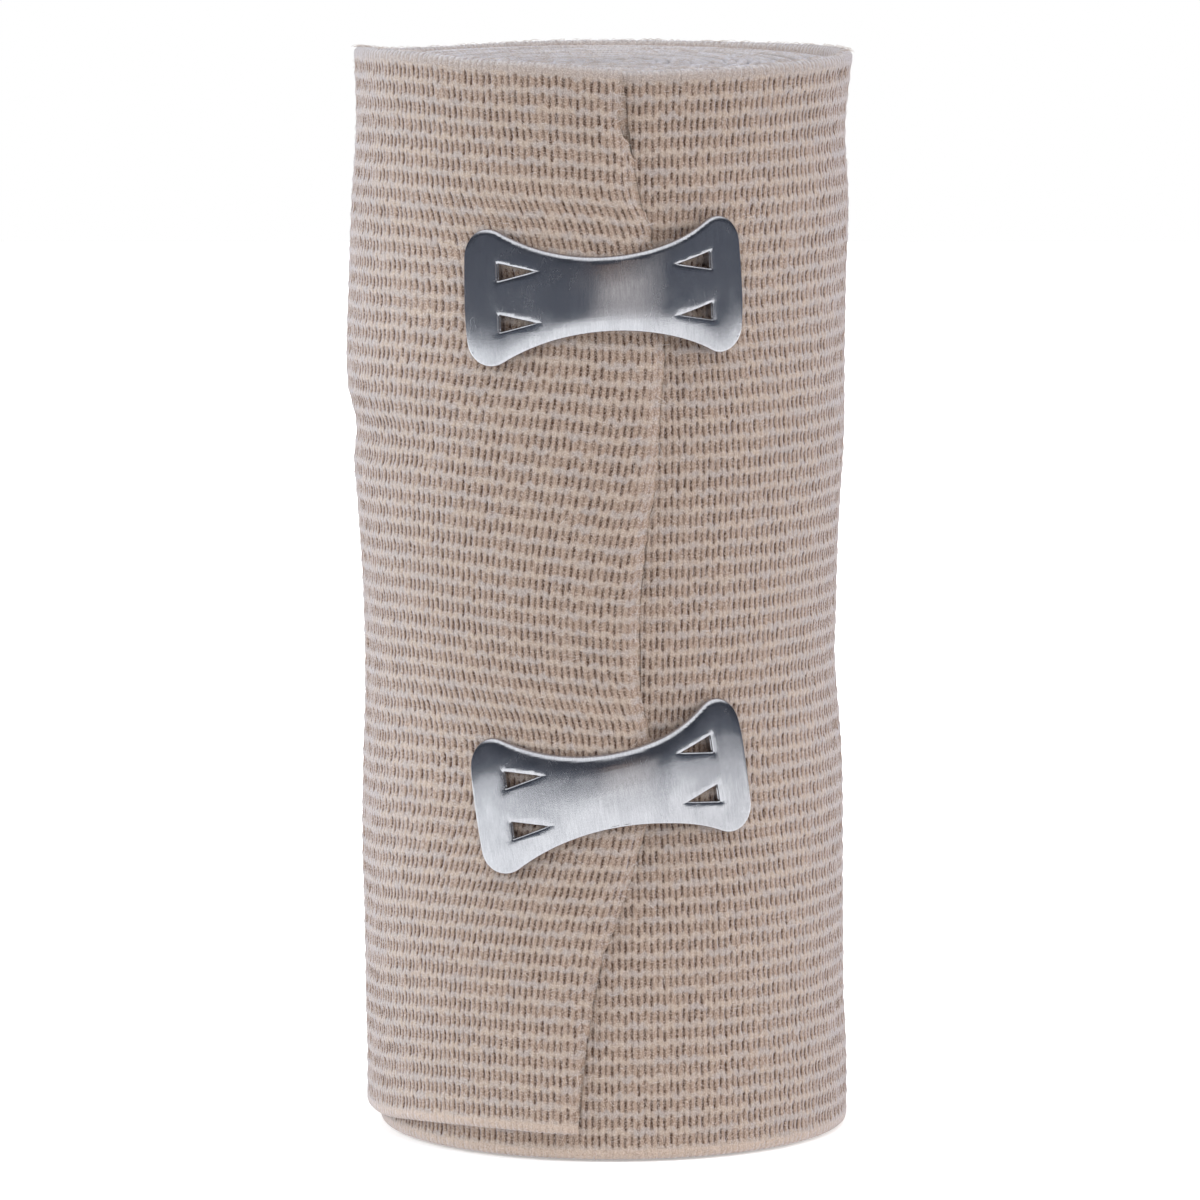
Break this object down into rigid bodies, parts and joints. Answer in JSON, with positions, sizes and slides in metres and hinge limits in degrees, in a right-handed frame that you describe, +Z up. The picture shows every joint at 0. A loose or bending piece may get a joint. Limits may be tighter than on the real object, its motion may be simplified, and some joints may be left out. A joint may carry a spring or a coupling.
{
  "type": "compression bandage roll",
  "caption": "Rolled elastic compression bandage standing on end, its loose end held by two stamped dog-bone metal clips with punched prongs.",
  "frame": {"origin": "on the winding axis, on the surface that the roll stands on", "axes": "+Z up along the winding axis, -Y out of the front where the clips are, +X to the right seen from the front"},
  "size_m": [0.047, 0.0481, 0.1014],
  "materials": {
    "bandage_cloth": "matte",
    "clip_metal": "satin"
  },
  "bodies": {
    "root": {"wound_roll": "bandage_cloth", "loose_end": "bandage_cloth", "clip_upper": "clip_metal", "clip_lower": "clip_metal"}
  },
  "joints": []
}
